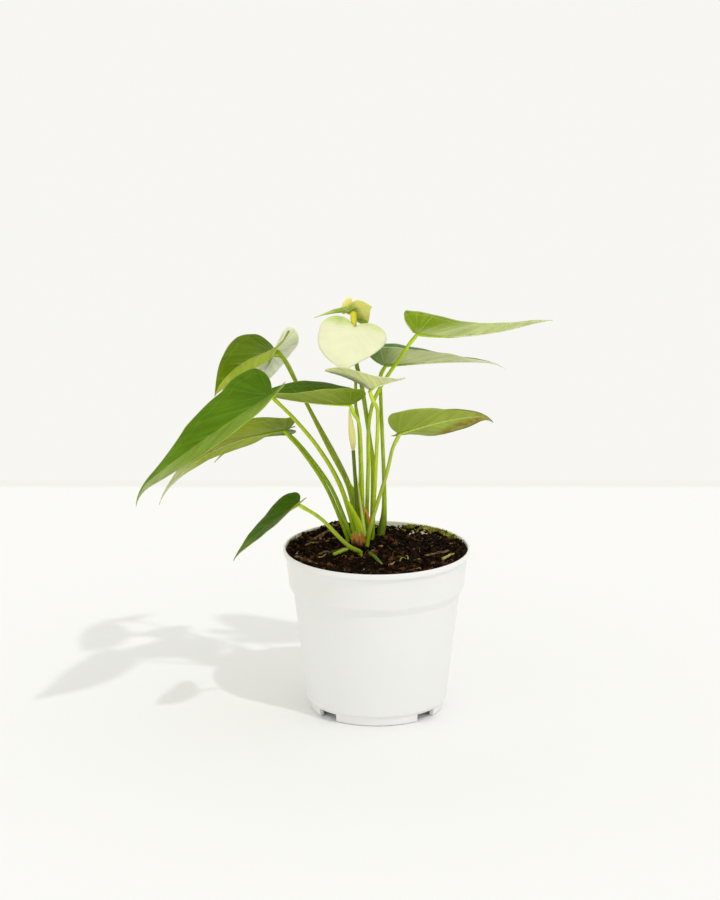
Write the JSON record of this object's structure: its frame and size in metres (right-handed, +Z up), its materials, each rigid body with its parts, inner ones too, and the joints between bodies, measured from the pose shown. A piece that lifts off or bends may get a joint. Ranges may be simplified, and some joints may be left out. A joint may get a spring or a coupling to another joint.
{
  "type": "potted flamingo flower",
  "caption": "Young flamingo flower with heart-shaped leaves on thin stalks, a cream spathe, a small green spathe with a spadix and a bud, in a white plastic nursery pot.",
  "frame": {"origin": "middle of the footprint of the whole plant and pot, on the table", "axes": "+Z up, +X to the right and -Y towards the viewer of the picture; +Y is the shortest way through the plant"},
  "size_m": [0.259, 0.1676, 0.2704],
  "materials": {
    "pot_white": "satin",
    "soil_brown": "coarse and dull",
    "leaf_green": "waxy",
    "stem_green": "smooth",
    "spathe_cream": "waxy",
    "spathe_green": "waxy",
    "spadix_yellow": "fine grain",
    "bud_pale": "smooth",
    "scale_brown": "papery"
  },
  "bodies": {
    "root": {"pot": "pot_white", "soil": "soil_brown", "flower_stalk": "stem_green", "young_stem": "stem_green", "bud_stalk": "stem_green", "bud": "bud_pale", "spadix": "spadix_yellow", "crown_scale": "scale_brown", "stub_left": "stem_green", "stub_right": "stem_green", "spathe": "spathe_cream", "upper_spathe": "spathe_green", "leaf_front_left": "leaf_green", "leaf_upper_left": "leaf_green", "leaf_behind_left": "leaf_green", "leaf_low_left": "leaf_green", "leaf_small_left": "leaf_green", "leaf_centre_left": "leaf_green", "leaf_centre": "leaf_green", "leaf_top_right": "leaf_green", "leaf_middle_right": "leaf_green", "leaf_low_right": "leaf_green", "leaf_lowest": "leaf_green"}
  },
  "joints": []
}
